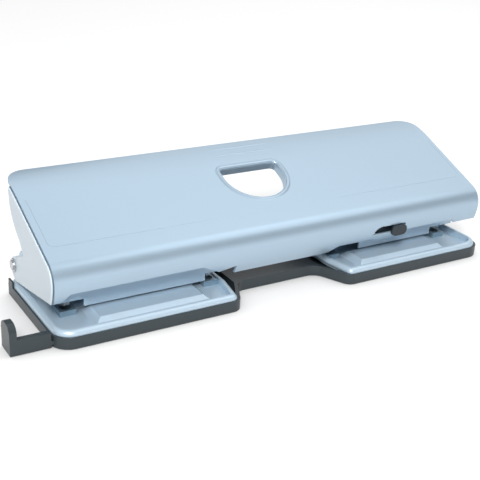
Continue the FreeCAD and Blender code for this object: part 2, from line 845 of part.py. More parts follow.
def round_lever_corners(body):
    """Round the pressing's two rear corners in plan."""
    back_y = lever_section("0")["back"][0]
    waste = [
        (f"{LEVER_END}-lever_corner", back_y),
        (LEVER_END, f"{back_y}-lever_corner", "lever_corner", -1),
        (f"{LEVER_END}+lever_sheet", f"{back_y}-lever_corner"),
        (f"{LEVER_END}+lever_sheet", f"{back_y}+lever_sheet"),
        (f"{LEVER_END}-lever_corner", f"{back_y}+lever_sheet"),
    ]
    for side in (1, -1):
        pocket(body, "XY_Plane", "2*nose_front", "nose_front", waste, side)


def finger_outline(outset):
    """D-shaped plan of the finger hole in the plane of the lever's top, flat at the back."""
    radius = f"(finger_half+({outset}))"
    centre = "(finger_back-finger_depth+finger_half)"
    back = f"(finger_back+({outset}))"
    corner = f"(finger_corner+({outset}))"
    return [
        (f"-finger_shift-{radius}", centre),
        ("-finger_shift", f"{centre}-{radius}", radius, 1),
        (f"-finger_shift+{radius}", centre, radius, 1),
        (f"-finger_shift+{radius}", f"{back}-{corner}"),
        (f"-finger_shift+{radius}-{corner}", back, corner, 1),
        (f"-finger_shift-{radius}+{corner}", back),
        (f"-finger_shift-{radius}", f"{back}-{corner}", corner, 1),
    ]


def slope_sketch(body):
    """Empty sketch in the plane of the lever's sloping top, over the punch's centre."""
    sketch = new_sketch(body, "XY_Plane", "0")
    sketch.AttachmentOffset = FreeCAD.Placement(
        FreeCAD.Vector(), FreeCAD.Rotation(FreeCAD.Vector(1, 0, 0), value("top_slope")))
    level = ("nose_height+nose_radius/cos(top_slope*1deg)"
             "+(nose_front-nose_radius)*tan(top_slope*1deg)")
    sketch.setExpression("AttachmentOffset.Base.z", bound(level))
    sketch.setExpression("AttachmentOffset.Rotation.Angle", bound("top_slope"))
    return sketch


def finger_hole(body):
    """Hole for carrying and gripping, its edge turned down into a collar."""
    collar = slope_sketch(body)
    draw_outline(collar, finger_outline("collar_sheet"))
    draw_outline(collar, finger_outline("0"))
    extrude(body, collar, "collar_depth", back=True)
    hole = slope_sketch(body)
    draw_outline(hole, finger_outline("0"))
    extrude(body, hole, "collar_depth+lever_sheet", kind="Pocket")


def lock_slot(body):
    """Slot in the right of the skirt that the lock's stem runs in, its left end swept up."""
    window = [
        ("slot_left", "slot_low"),
        ("slot_right", "slot_low"),
        ("slot_right", "slot_high"),
        ("slot_left+slot_run", "slot_high"),
        ("slot_left", "slot_low", "slot_curve", 1),
    ]
    pocket(body, "XZ_Plane", "nose_front+lever_sheet", "face_radius/2", window[1:])


def crease(body, side):
    """Shallow groove along the top's front edge that turns up along its end."""
    sketch = slope_sketch(body)
    end = f"({LEVER_END}-crease_margin)"
    inner_end = f"({end}-crease_width)"
    inner_front = "(-crease_front+crease_width)"
    draw_outline(sketch, [
        ("crease_start", "-crease_front"),
        (f"{end}-crease_corner", "-crease_front"),
        (end, "-crease_front+crease_corner", "crease_corner", 1),
        (end, "crease_back"),
        (inner_end, "crease_back"),
        (inner_end, "-crease_front+crease_corner"),
        (f"{end}-crease_corner", inner_front, "crease_corner-crease_width", -1),
        ("crease_start", inner_front),
    ], side)
    extrude(body, sketch, "crease_depth", kind="Pocket")


def end_cap(label, side):
    """Moulded cap inside the pressing's end, with a lobe round the pivot rod."""
    body = new_body(label)
    inner = lever_section("lever_sheet")
    outer = lever_section("0")
    back_y = f"({outer['flat'][0]}+back_radius*sin(top_slope*1deg))"
    back_z = f"({outer['flat'][1]}-back_radius*cos(top_slope*1deg))"
    radius = "(back_radius-lever_sheet)"
    crown_z = f"{back_z}+sqrt({radius}^2-(cap_back_y-{back_y})^2)"
    face = "(face_radius-lever_sheet)"
    toe_y = f"-nose_front+face_radius-sqrt({face}^2-(nose_height-cap_front_low)^2)"
    lobe_y = "(pivot_y-lobe_forward)"
    lobe_z = "(pivot_z-lobe_drop)"
    profile = [
        ("cap_back_y", crown_z, radius, -1),
        ("cap_bend_y", "cap_bend_z"),
        ("cap_knee_y", "cap_knee_z", "cap_bend_radius", -1),
        ("cap_waist_y", "cap_waist_z"),
        (lobe_y, f"{lobe_z}+cap_lobe"),
        (f"{lobe_y}+cap_lobe", lobe_z, "cap_lobe", -1),
        (lobe_y, f"{lobe_z}-cap_lobe", "cap_lobe", -1),
        (toe_y, "cap_front_low"),
        inner["front"][:2] + (face, -1),
        inner["brow"],
        inner["flat"],
    ]
    plane = CAP_INNER if side > 0 else f"-{CAP_OUTER}"
    pad(body, "YZ_Plane", plane, "cap_lap+cap_proud", profile)
    dress(body, "Fillet", "cap_round", lambda edge: is_cap_brim(edge, side))
    drill(body, "YZ_Plane", plane, "cap_lap+cap_proud", [("pivot_y", "pivot_z")],
          "rod_radius+lock_play", back=True)
    return body


def is_cap_brim(edge, side):
    """True for the outer edges of a cap that run along the pressing, from toe to crown."""
    frame = edge.BoundBox
    x = side * value(CAP_OUTER)
    outside = abs(frame.XMin - x) < 0.01 and abs(frame.XMax - x) < 0.01
    front = frame.YMin < 0 and frame.ZMin > value("cap_front_low") - 0.01
    crown = frame.YMin > 0 and frame.ZMin > value("cap_bend_z") + 0.01
    return outside and (front or crown)


def lever_bracket(label, side):
    """Steel plate under the pressing that turns on the rod and carries the pressure bar."""
    body = new_body(label)
    inner = lever_section("lever_sheet")
    steep = "tan(top_slope*1deg)"
    brow_y, brow_z = inner["brow"][:2]
    roof = f"({brow_z}-({brow_y})*{steep})"
    profile = [
        ("-bracket_front", "bracket_low"),
        ("-bracket_neck_y", "bracket_neck_z"),
        ("pivot_y-bracket_boss", "pivot_z"),
        ("pivot_y", "pivot_z-bracket_boss", "bracket_boss", 1),
        ("pivot_y+bracket_boss", "pivot_z", "bracket_boss", 1),
        ("pivot_y", "pivot_z+bracket_boss", "bracket_boss", 1),
        ("0", "bracket_back_z"),
        ("0", roof),
        ("-bracket_front", f"{roof}-bracket_front*{steep}"),
    ]
    plane = f"{BRACKET_OUTER}-bracket_sheet" if side > 0 else f"-{BRACKET_OUTER}"
    pad(body, "YZ_Plane", plane, "bracket_sheet", profile)
    drill(body, "YZ_Plane", plane, "bracket_sheet", [("pivot_y", "pivot_z")],
          "rod_radius+rod_fit", back=True)
    return body


def pressure_bar():
    """Flat bar over the pin heads, from bracket to bracket."""
    half = f"({BRACKET_OUTER}-bracket_sheet)"
    return box("pressure_bar",
               (f"-{half}", "-pin_line-bar_width/2", "pin_top+bar_rest_gap"),
               (half, "-pin_line+bar_width/2", "pin_top+bar_rest_gap+bar_thick"))


# ---------------------------------------------------------------- lever lock
def skirt_depth(depth, z):
    """How far in front of the origin the skirt is at a height, at a depth inside its face."""
    return f"(nose_front-face_radius+sqrt((face_radius-({depth}))^2-(nose_height-({z}))^2))"


STRAP_SEAT = f"({skirt_depth('lever_sheet', 'strap_low')}-strap_gap)"
LOCK_PLATE = f"({STRAP_SEAT}-strap_rise)"


def lock_slider():
    """Knob in front of the skirt, stem through its slot, plate and tongue behind it."""
    body = new_body("lock_slider")
    right = "(slot_right-lock_play)"
    left = f"({right}-knob_length)"
    knob_back = f"({skirt_depth('0', 'knob_high')}+lock_play)"
    knob = [
        (f"{right}-knob_round", "knob_low"),
        (right, "knob_low+knob_round", "knob_round", 1),
        (right, "knob_high-knob_round"),
        (f"{right}-knob_round", "knob_high", "knob_round", 1),
        (f"{left}+knob_round", "knob_high"),
        (left, "knob_high-knob_round", "knob_round", 1),
        (left, "knob_low+knob_round"),
        (f"{left}+knob_round", "knob_low", "knob_round", 1),
    ]
    pad(body, "XZ_Plane", knob_back, "knob_thick", knob)
    stem = [
        (f"{right}-stem_length", "stem_low"),
        (right, "stem_low"),
        (right, "stem_high"),
        (f"{right}-stem_length", "stem_high"),
    ]
    pad(body, "XZ_Plane", LOCK_PLATE, f"{knob_back}-{LOCK_PLATE}", stem)
    plate = [
        (f"{right}-lock_plate_length", "lock_plate_low"),
        (right, "lock_plate_low"),
        (right, "lock_plate_high"),
        (f"{right}-lock_plate_length", "lock_plate_high"),
    ]
    pad(body, "XZ_Plane", f"{LOCK_PLATE}-lock_plate", "lock_plate", plate)
    tongue = [
        (f"{right}-tongue_start", "lock_plate_low"),
        (f"{right}-tongue_start+tongue_width", "lock_plate_low"),
        (f"{right}-tongue_start+tongue_width", "lock_plate_low+tongue_thick"),
        (f"{right}-tongue_start", "lock_plate_low+tongue_thick"),
    ]
    pad(body, "XZ_Plane", "tongue_end", f"{LOCK_PLATE}-lock_plate-tongue_end", tongue)
    return body


def lock_strap():
    """Bent strap behind the skirt that keeps the slider in its track."""
    body = new_body("lock_strap")
    right = "(slot_right+strap_foot)"
    left = "(slot_right-lock_plate_length-lock_travel-2*strap_foot)"
    inner = f"(-{LOCK_PLATE}+lock_plate+lock_play)"
    seat = f"-{STRAP_SEAT}"
    plan = [
        (left, seat),
        (f"{left}+strap_foot", seat),
        (f"{left}+strap_foot", inner),
        (f"{right}-strap_foot+lock_play", inner),
        (f"{right}-strap_foot+lock_play", seat),
        (f"{right}+lock_play", seat),
        (f"{right}+lock_play", f"{inner}+strap_thick"),
        (left, f"{inner}+strap_thick"),
    ]
    pad(body, "XY_Plane", "strap_low", "strap_high-strap_low", plan)
    return body


# ---------------------------------------------------------------- punch pins
def set_on_line(body, x):
    """Stand a piece that was made on the Z axis at its place on the punching line."""
    body.setExpression("Placement.Base.x", bound(x))
    body.setExpression("Placement.Base.y", bound("-pin_line"))
    DOC.recompute()
    return body


def punch_pin(label, x):
    """Round pin with a clip groove near its head and a hollow-ground tip."""
    body = new_body(label)
    sketch = new_sketch(body, "XZ_Plane", "0")
    draw_outline(sketch, [
        ("0", "pin_tip"),
        ("pin_radius", "pin_tip"),
        ("pin_radius", "clip_bottom"),
        ("pin_radius-groove_depth", "clip_bottom"),
        ("pin_radius-groove_depth", "clip_bottom+clip_thick"),
        ("pin_radius", "clip_bottom+clip_thick"),
        ("pin_radius", "pin_top"),
        ("0", "pin_top"),
    ])
    turned = body.newObject("PartDesign::Revolution", f"{label}_turned")
    turned.Profile = sketch
    turned.ReferenceAxis = (sketch, ["V_Axis"])
    turned.Angle = 360
    DOC.recompute()
    reach = "sqrt(tip_hollow^2-pin_radius^2)"
    drill(body, "XZ_Plane", "0", "3*pin_radius", [("0", f"pin_tip-{reach}")], "tip_hollow",
          middle=True)
    return set_on_line(body, x)


def pin_clip(label, x):
    """Open retaining ring in the pin's groove; the spring pushes up on it."""
    body = new_body(label)
    sketch = new_sketch(body, "XY_Plane", "clip_bottom")
    draw_circle(sketch, "0", "0", "clip_radius")
    extrude(body, sketch, "clip_thick")
    drill(body, "XY_Plane", "clip_bottom", "clip_thick", [("0", "0")],
          "pin_radius-groove_depth+clip_play", back=True)
    mouth = [
        ("-clip_gap/2", "0"),
        ("clip_gap/2", "0"),
        ("clip_gap/2", "2*clip_radius"),
        ("-clip_gap/2", "2*clip_radius"),
    ]
    pocket(body, "XY_Plane", "clip_bottom", "clip_thick", mouth, back=True)
    return set_on_line(body, x)


def pin_spring(label, x):
    """Compression spring between the frame's top and the clip: a coil of short straight runs."""
    turns, radius, wire = value("spring_turns"), value("spring_radius"), value("spring_wire")
    start = value("frame_top+spring_wire+wire_play")
    rise = value("clip_bottom-spring_wire-wire_play") - start
    steps = round(turns * COIL_STEPS)
    places = []
    for step in range(steps + 1):
        angle = 2 * math.pi * step / COIL_STEPS
        places.append(FreeCAD.Vector(radius * math.cos(angle), radius * math.sin(angle),
                                     start + rise * step / steps))
    section = Part.Circle(places[0], places[1] - places[0], wire).toShape()
    corners = [section.valueAt(2 * math.pi * corner / WIRE_SIDES) for corner in range(WIRE_SIDES)]
    outline = Part.makePolygon(corners + corners[:1])
    path = Part.makePolygon(places)
    spring = DOC.addObject("Part::Feature", label)
    spring.Label = label
    # the last 1 asks for mitred corners
    spring.Shape = path.makePipeShell([outline], True, False, 1)
    return set_on_line(spring, x)


def punches():
    """Four pins with their clips and springs, numbered from the left."""
    made = []
    places = ("-pin_outer", "-pin_inner", "pin_inner", "pin_outer")
    for number, x in enumerate(places, start=1):
        made.append(punch_pin(f"pin_{number}", x))
        made.append(pin_clip(f"pin_clip_{number}", x))
        made.append(pin_spring(f"pin_spring_{number}", x))
    return made


# ---------------------------------------------------------------- build and write
def build():
    """Every sub-part, in the order that the punch is put together."""
    made = [chip_tray(), paper_guide()]
    made += [base_plate("left_base_plate", -1), base_plate("right_base_plate", 1)]
    made += dies()
    made += [punch_frame("left_punch_frame", -1), punch_frame("right_punch_frame", 1)]
    made += [frame_rivets(), pivot_rod(), rod_clips()]
    made += [lever_shell(), end_cap("left_end_cap", -1), end_cap("right_end_cap", 1)]
    made += [lever_bracket("left_lever_bracket", -1), lever_bracket("right_lever_bracket", 1)]
    made += [pressure_bar(), lock_slider(), lock_strap()]
    made += punches()
    return made


def check(parts):
    """Stop if any object failed or any sub-part has no sound shape."""
    DOC.recompute()
    for item in DOC.Objects:
        if {"Invalid", "Error"} & set(item.State):
            raise ValueError(f"{item.Label}: {item.State}")
    for part in parts:
        if part.Shape.isNull() or not part.Shape.isValid():
            raise ValueError(f"{part.Label}: no valid shape")


def write(parts):
    """One STEP file for each sub-part, named by its label."""
    os.makedirs("parts", exist_ok=True)
    for part in parts:
        part.Shape.exportStep(f"parts/{part.Label}.step")
        frame = part.Shape.BoundBox
        print(f"{part.Label:22s} {len(part.Shape.Solids)} x {frame.XMin:7.2f} {frame.XMax:7.2f}"
              f" y {frame.YMin:7.2f} {frame.YMax:7.2f} z {frame.ZMin:6.2f} {frame.ZMax:6.2f}"
              f" volume {part.Shape.Volume:9.1f}")


fill_sheet()
PARTS = build()
check(PARTS)
write(PARTS)
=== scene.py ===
"""Looks of the desk punch: finishes, small formed details, stage, lamps and camera.

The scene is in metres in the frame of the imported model: +X right, +Y back, +Z up.
Sizes of the formed details are written in mm.
"""
import json
import math

import bmesh
import bpy
from mathutils import Matrix, Vector

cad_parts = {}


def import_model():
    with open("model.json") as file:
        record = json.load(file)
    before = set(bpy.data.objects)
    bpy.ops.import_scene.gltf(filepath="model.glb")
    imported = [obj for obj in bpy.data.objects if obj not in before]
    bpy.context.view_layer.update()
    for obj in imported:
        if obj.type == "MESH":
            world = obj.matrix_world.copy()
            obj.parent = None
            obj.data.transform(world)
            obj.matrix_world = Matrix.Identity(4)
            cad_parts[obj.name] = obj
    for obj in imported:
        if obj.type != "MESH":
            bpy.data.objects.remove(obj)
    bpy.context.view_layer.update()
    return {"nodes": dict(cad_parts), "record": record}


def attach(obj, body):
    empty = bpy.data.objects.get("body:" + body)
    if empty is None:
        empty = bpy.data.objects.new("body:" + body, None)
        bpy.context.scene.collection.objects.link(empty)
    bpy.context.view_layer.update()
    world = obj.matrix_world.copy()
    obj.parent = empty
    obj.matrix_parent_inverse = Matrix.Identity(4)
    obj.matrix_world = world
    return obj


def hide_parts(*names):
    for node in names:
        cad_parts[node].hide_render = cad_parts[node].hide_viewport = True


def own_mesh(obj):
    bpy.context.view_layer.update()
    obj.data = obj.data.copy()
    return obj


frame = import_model()
NODES = frame["nodes"]
MM = 0.001

# ---------------------------------------------------------------- colours, as plain linear values
LEVER_BLUE = (0.420, 0.545, 0.655)
# painted light: paler than the lever's blue, so that the table in the lever's shade reads bright
BASE_BLUE = (0.530, 0.665, 0.775)
# painted light: paler than the lever's blue, to lift the frame's shade under the lever
FRAME_BLUE = (0.560, 0.700, 0.820)
CAP_BLUE = (0.720, 0.810, 0.870)
# painted shade: dark blue for the bead that stands in for the shaded gap at each cap's joint
SEAM_SHADE_BLUE = (0.120, 0.170, 0.220)
# painted shade: a darker blue for the dies, standing in for the shade at the pocket ends
DIE_SHADE_BLUE = (0.270, 0.380, 0.460)
TRAY_GREY = (0.033, 0.045, 0.052)
KNOB_BLACK = (0.014, 0.022, 0.030)
STEEL = (0.560, 0.570, 0.590)
DARK_STEEL = (0.400, 0.405, 0.420)
# painted shade: the pins' steel is darkened so that they sink into the pockets' shade
DARKENED_PIN_STEEL = (0.250, 0.265, 0.280)

# how far noise is squeezed on each axis, for marks that run along x, along z or neither
ALONG_X = (0.03, 1, 1)
ALONG_Z = (1, 1, 0.03)
EVEN = (1, 1, 1)


# ---------------------------------------------------------------- material building
def add_node(tree, kind, sockets=None, **settings):
    """New node in a tree, with some of its sockets and settings filled in."""
    node = tree.nodes.new(kind)
    for name, value in (sockets or {}).items():
        node.inputs[name].default_value = value
    for name, value in settings.items():
        setattr(node, name, value)
    return node


class Surface:
    """A new material with one principled shader, and short ways to vary its sockets."""

    def __init__(self, name):
        self.material = bpy.data.materials.new(name)
        self.material.use_nodes = True
        self.tree = self.material.node_tree
        self.tree.nodes.clear()
        output = add_node(self.tree, "ShaderNodeOutputMaterial")
        self.shader = add_node(self.tree, "ShaderNodeBsdfPrincipled")
        self.join(self.shader, "BSDF", output, "Surface")
        self.place = add_node(self.tree, "ShaderNodeTexCoord")

    def join(self, source, out, target, into):
        """Link two nodes by the names of their sockets."""
        self.tree.links.new(source.outputs[out], target.inputs[into])

    def noise(self, scale, detail, roughness=0.5, stretch=EVEN):
        """Noise in object space, squeezed by stretch."""
        mapping = add_node(self.tree, "ShaderNodeMapping", {"Scale": stretch})
        self.join(self.place, "Object", mapping, "Vector")
        sockets = {"Scale": scale, "Detail": detail, "Roughness": roughness}
        noise = add_node(self.tree, "ShaderNodeTexNoise", sockets)
        self.join(mapping, "Vector", noise, "Vector")
        return noise

    def roughness(self, source, low, high):
        """Vary the roughness between two limits."""
        limits = {"To Min": low, "To Max": high}
        spread = add_node(self.tree, "ShaderNodeMapRange", limits)
        self.join(source, "Fac", spread, "Value")
        self.join(spread, "Result", self.shader, "Roughness")

    def tint(self, source, colour, swing):
        """Vary the base colour around its middle, by a share of itself."""
        ramp = add_node(self.tree, "ShaderNodeValToRGB")
        ramp.color_ramp.interpolation = "B_SPLINE"
        low, high = ramp.color_ramp.elements
        low.color = tuple(part * (1 - swing) for part in colour) + (1,)
        high.color = tuple(min(part * (1 + swing), 1) for part in colour) + (1,)
        self.join(source, "Fac", ramp, "Fac")
        self.join(ramp, "Color", self.shader, "Base Color")

    def bump(self, source, distance, strength):
        """Bump with a distance in metres."""
        sockets = {"Distance": distance, "Strength": strength}
        bump = add_node(self.tree, "ShaderNodeBump", sockets)
        self.join(source, "Fac", bump, "Height")
        self.join(bump, "Normal", self.shader, "Normal")


PEEL_SCALE = 900
PEEL_DETAIL = 1.5
PEEL_DEPTH = 0.00002
PEEL_STRENGTH = 0.25
PAINT_DRIFT_SCALE = 14
PAINT_DRIFT_DETAIL = 3
PAINT_TINT = 0.018
PAINT_ROUGHNESS_SWING = 0.02


def paint(name, colour, roughness, flake):
    """Baked paint on steel with a little metal flake: fine orange peel under a soft gloss."""
    surface = Surface(name)
    peel = surface.noise(PEEL_SCALE, PEEL_DETAIL)
    drift = surface.noise(PAINT_DRIFT_SCALE, PAINT_DRIFT_DETAIL)
    surface.tint(drift, colour, PAINT_TINT)
    surface.roughness(drift, roughness - PAINT_ROUGHNESS_SWING, roughness + PAINT_ROUGHNESS_SWING)
    surface.bump(peel, PEEL_DEPTH, PEEL_STRENGTH)
    surface.shader.inputs["Metallic"].default_value = flake
    return surface.material


GRAIN_DETAIL = 3
GRAIN_ROUGHNESS = 0.6
GRAIN_DEPTH = 0.00004
GRAIN_STRENGTH = 0.35
PLASTIC_DRIFT_SCALE = 20
PLASTIC_DRIFT_DETAIL = 2
PLASTIC_TINT = 0.06
PLASTIC_ROUGHNESS_SWING = 0.06


def plastic(name, colour, roughness, grain_scale):
    """Moulded plastic with a spark-eroded grain."""
    surface = Surface(name)
    grain = surface.noise(grain_scale, GRAIN_DETAIL, GRAIN_ROUGHNESS)
    drift = surface.noise(PLASTIC_DRIFT_SCALE, PLASTIC_DRIFT_DETAIL)
    surface.tint(drift, colour, PLASTIC_TINT)
    surface.roughness(grain, roughness - PLASTIC_ROUGHNESS_SWING,
                      roughness + PLASTIC_ROUGHNESS_SWING)
    surface.bump(grain, GRAIN_DEPTH, GRAIN_STRENGTH)
    return surface.material


MARKS_SCALE = 1500
MARKS_DETAIL = 4
MARKS_ROUGHNESS = 0.7
MARKS_DEPTH = 0.00001
MARKS_STRENGTH = 0.3
METAL_DRIFT_SCALE = 60
METAL_DRIFT_DETAIL = 3
METAL_TINT = 0.08
METAL_SMOOTHER = 0.1
METAL_ROUGHER = 0.12


def metal(name, colour, roughness, stretch):
    """Bare steel with drawing or grinding marks along one axis."""
    surface = Surface(name)
    marks = surface.noise(MARKS_SCALE, MARKS_DETAIL, MARKS_ROUGHNESS, stretch)
    drift = surface.noise(METAL_DRIFT_SCALE, METAL_DRIFT_DETAIL)
    surface.tint(drift, colour, METAL_TINT)
    surface.roughness(marks, roughness - METAL_SMOOTHER, roughness + METAL_ROUGHER)
    surface.bump(marks, MARKS_DEPTH, MARKS_STRENGTH)
    surface.shader.inputs["Metallic"].default_value = 1.0
    return surface.material


LEVER_PAINT = paint("lever_paint", LEVER_BLUE, roughness=0.33, flake=0.5)
# paler base paint: painted light on the table under the lever
BASE_PAINT = paint("base_paint", BASE_BLUE, roughness=0.36, flake=0.25)
# painted shade on the dies at the pocket ends
DIE_SHADE_PAINT = paint("die_shade_paint", DIE_SHADE_BLUE, roughness=0.36, flake=0.4)
# paler frame paint: painted light in the shade under the lever
FRAME_PAINT = paint("frame_paint", FRAME_BLUE, roughness=0.36, flake=0.35)
CAP_PLASTIC = plastic("cap_plastic", CAP_BLUE, roughness=0.42, grain_scale=1400)
# painted shade along the caps' joints
SEAM_SHADE_FINISH = plastic("seam_shade", SEAM_SHADE_BLUE, roughness=0.5, grain_scale=1400)
TRAY_PLASTIC = plastic("tray_plastic", TRAY_GREY, roughness=0.36, grain_scale=1800)
KNOB_PLASTIC = plastic("knob_plastic", KNOB_BLACK, roughness=0.42, grain_scale=1600)
STRIP_STEEL = metal("strip_steel", STEEL, roughness=0.38, stretch=ALONG_X)
ROD_STEEL = metal("rod_steel", STEEL, roughness=0.38, stretch=ALONG_X)
# darkened steel: painted shade on the pins
PIN_STEEL = metal("pin_steel", DARKENED_PIN_STEEL, roughness=0.42, stretch=ALONG_Z)
SPRING_STEEL = metal("spring_steel", DARK_STEEL, roughness=0.34, stretch=EVEN)

# finish of each material slot of the record
FINISH = {
    "lever_paint": LEVER_PAINT,
    "base_paint": BASE_PAINT,
    "frame_paint": FRAME_PAINT,
    "cap_plastic": CAP_PLASTIC,
    "tray_plastic": TRAY_PLASTIC,
    "guide_plastic": TRAY_PLASTIC,
    "lock_plastic": KNOB_PLASTIC,
    "bracket_steel": STRIP_STEEL,
    "rivet_steel": STRIP_STEEL,
    "rod_steel": ROD_STEEL,
    "pin_steel": PIN_STEEL,
    "spring_steel": SPRING_STEEL,
}

# the dies have the base's slot but a darker paint: painted shade for the dark pocket ends round
# them
DIES_IN_PAINTED_SHADE = ("die_1", "die_2", "die_3", "die_4")

# width in mm of the rounded edges, for the nodes that don't come smooth from the solids
EDGE_ROUND = {
    "lever_shell": 0.45,
    "left_end_cap": 0.3,
    "right_end_cap": 0.3,
    "left_base_plate": 0.5,
    "right_base_plate": 0.5,
    "left_punch_frame": 0.35,
    "right_punch_frame": 0.35,
    "chip_tray": 0.5,
    "paper_guide": 0.6,
    "lock_slider": 0.4,
    "pressure_bar": 0.4,
    "pivot_rod": 0.4,
}
JOIN_REACH = 0.000001  # in metres: split vertices this near each other are joined
EDGE_SEGMENTS = 3
EDGE_ANGLE = math.radians(32)
FACE_WEIGHT = 100


def dress_nodes():
    """Give each CAD node the finish of its slot, the dies a darker paint as painted shade, and its
    edges a small round.
    """
    slots = {row["node"]: row["material_slot"] for row in frame["record"]["subparts"]}
    for name, node in NODES.items():
        # the dies take the darker paint: painted shade
        node.material_slots[0].material = DIE_SHADE_PAINT if name in DIES_IN_PAINTED_SHADE else FINISH[slots[name]]
        if name in EDGE_ROUND:
            round_edges(node, EDGE_ROUND[name] * MM)


def round_edges(piece, width):
    """Join split vertices, bevel the sharp edges and keep the large faces flat in the shading."""
    weld = piece.modifiers.new("join", "WELD")
    weld.merge_threshold = JOIN_REACH
    bevel = piece.modifiers.new("edge", "BEVEL")
    bevel.width = width
    bevel.segments = EDGE_SEGMENTS
    bevel.limit_method = "ANGLE"
    bevel.angle_limit = EDGE_ANGLE
    bevel.use_clamp_overlap = True
    weighted = piece.modifiers.new("even", "WEIGHTED_NORMAL")
    weighted.weight = FACE_WEIGHT


# ---------------------------------------------------------------- formed details, sizes in mm
SHARP_ANGLE = math.radians(40)


def turns(steps):
    """Angles of the corners of a regular ring."""
    return [2 * math.pi * step / steps for step in range(steps)]


def swept(name, rings, closed, finish, body):
    """Mesh through a row of rings of points in mm, joined into a loop or capped at its ends."""
    mesh = bpy.data.meshes.new(name)
    form = bmesh.new()
    rows = [[form.verts.new(Vector(point) * MM) for point in ring] for ring in rings]
    afters = rows[1:] + (rows[:1] if closed else [])
    for row, after in zip(rows, afters):
        for step in range(len(row)):
            other = (step + 1) % len(row)
            form.faces.new((row[step], row[other], after[other], after[step]))
    if not closed:
        form.faces.new(rows[0][::-1])
        form.faces.new(rows[-1])
    bmesh.ops.recalc_face_normals(form, faces=form.faces)
    form.to_mesh(mesh)
    form.free()
    mesh.shade_smooth()
    mesh.set_sharp_from_angle(angle=SHARP_ANGLE)
    mesh.materials.append(finish)
    piece = bpy.data.objects.new(name, mesh)
    bpy.context.scene.collection.objects.link(piece)
    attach(piece, body)
    return piece


# place of each hem's two ends along x
HEMS = {"left_frame_hem": (-112.0, -44.0), "right_frame_hem": (58.0, 112.0)}
HEM_STEPS = 16
HEM_Y = -21.0
HEM_Z = 9.95
HEM_DEPTH = 0.72
HEM_HEIGHT = 0.75


def hem(name, ends):
    """Rolled hem along the lower edge of a frame's front wall."""
    rings = [[(x, HEM_Y + HEM_DEPTH * math.cos(turn), HEM_Z + HEM_HEIGHT * math.sin(turn))
              for turn in turns(HEM_STEPS)] for x in ends]
    swept(name, rings, False, FRAME_PAINT, "chassis")


TOP_SLOPE = math.radians(22.6)
TOP_LEVEL = 53.90  # height of the top's plane over the middle of the punch


def on_top(across, along, height):
    """Point in mm at a place in the lever's sloping top and a height over it."""
    rise, run = math.sin(TOP_SLOPE), math.cos(TOP_SLOPE)
    return (across, along * run - height * rise, TOP_LEVEL + along * rise + height * run)


# finger hole in the plane of the top: a half circle in front, two small corners behind
HOLE_MIDDLE = -1.5
HOLE_HALF = 18.5
HOLE_ARC_LEVEL = 3.3
HOLE_ARC_STEPS = 48
HOLE_BACK = 10.8
HOLE_CORNER = 3.0
HOLE_CORNER_STEPS = 10


def hole_stations():
    """Places round the finger hole's edge, each with its outward direction."""
    stations = []

    def arc(centre, radius, start, stop, steps):
        for step in range(steps + 1):
            turn = math.radians(start + (stop - start) * step / steps)
            out = (math.cos(turn), math.sin(turn))
            stations.append(((centre[0] + radius * out[0], centre[1] + radius * out[1]), out))

    side = HOLE_HALF - HOLE_CORNER
    level = HOLE_BACK - HOLE_CORNER
    arc((HOLE_MIDDLE, HOLE_ARC_LEVEL), HOLE_HALF, -180, 0, HOLE_ARC_STEPS)
    arc((HOLE_MIDDLE + side, level), HOLE_CORNER, 0, 90, HOLE_CORNER_STEPS)
    arc((HOLE_MIDDLE - side, level), HOLE_CORNER, 90, 180, HOLE_CORNER_STEPS)
    return stations


# the lip's section: distances out from the hole's edge, and heights over the top
LIP_FOOT = 3.1
LIP_CREST = 1.5
LIP_INSIDE = -0.15
LIP_BOTTOM = 0.5
LIP_RISE = 0.55
LIP_DROP = 1.15
LIP_SUNK = 0.3
LIP_TAIL = 0.15
LIP_RAMP_STEPS = 6
LIP_ROLL_STEPS = 8


def finger_lip():
    """Raised lip round the finger hole that rolls over into its wall."""
    profile = [(LIP_FOOT, -LIP_SUNK)]
    for step in range(LIP_RAMP_STEPS):
        share = 1 - step / LIP_RAMP_STEPS
        swell = 0.5 + 0.5 * math.cos(math.pi * share)
        profile.append((LIP_CREST + (LIP_FOOT - LIP_CREST) * share, LIP_RISE * swell))
    for step in range(LIP_ROLL_STEPS + 1):
        turn = math.radians(90 * step / LIP_ROLL_STEPS)
        profile.append((LIP_CREST - (LIP_CREST - LIP_INSIDE) * math.sin(turn),
                        -LIP_DROP + (LIP_RISE + LIP_DROP) * math.cos(turn)))
    profile += [(LIP_INSIDE, -LIP_DROP - LIP_TAIL), (LIP_BOTTOM, -LIP_DROP - LIP_TAIL)]
    rings = [[on_top(place[0] + out[0] * outset, place[1] + out[1] * outset, height)
              for outset, height in profile] for place, out in hole_stations()]
    swept("finger_lip", rings, True, LEVER_PAINT, "lever")


# each rib's place along y, and its two ends along x
RIBS = {"grip_rib_1": (20.6, -19.0, 22.0), "grip_rib_2": (27.0, -17.0, 24.0)}
RIB_HALF_WIDTH = 0.95
RIB_HEIGHT = 0.34
RIB_SUNK = 0.10
RIB_STEPS = 8
RIB_TAPER = ((0.0, 0.1), (2.0, 0.35), (4.5, 0.7), (8.0, 1.0))  # inset from an end, and size there
ABOVE_LEVER = 100


